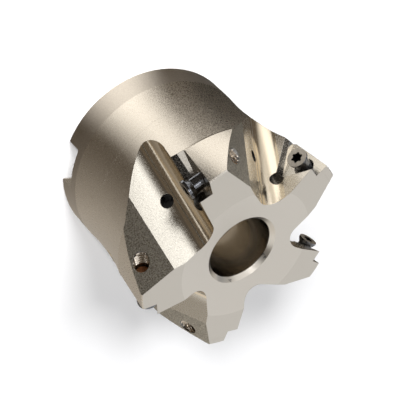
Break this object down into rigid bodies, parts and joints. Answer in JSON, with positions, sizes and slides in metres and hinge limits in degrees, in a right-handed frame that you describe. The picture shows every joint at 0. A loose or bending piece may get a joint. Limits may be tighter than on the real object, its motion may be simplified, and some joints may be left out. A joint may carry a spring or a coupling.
{
  "type": "shell end mill",
  "caption": "Arbor-mounted milling cutter body with angled chip gullets, insert seats holding their clamp screws, coolant holes, a central bore and a rear drive slot.",
  "frame": {"origin": "centre of the arbor bore on the rear seating face, which the cutter stands on", "axes": "+Z along the cutter axis, out of the cutting face. The drive slot runs along X."},
  "size_m": [0.0606, 0.0607, 0.053],
  "materials": {
    "body_steel": "satin nickel-toned steel, finely grained",
    "screw_steel": "black oxide with worn bright faces"
  },
  "bodies": {
    "root": {"cutter_body": "body_steel", "clamp_screw_1": "screw_steel", "clamp_screw_2": "screw_steel", "clamp_screw_3": "screw_steel", "clamp_screw_4": "screw_steel", "clamp_screw_5": "screw_steel"}
  },
  "joints": []
}
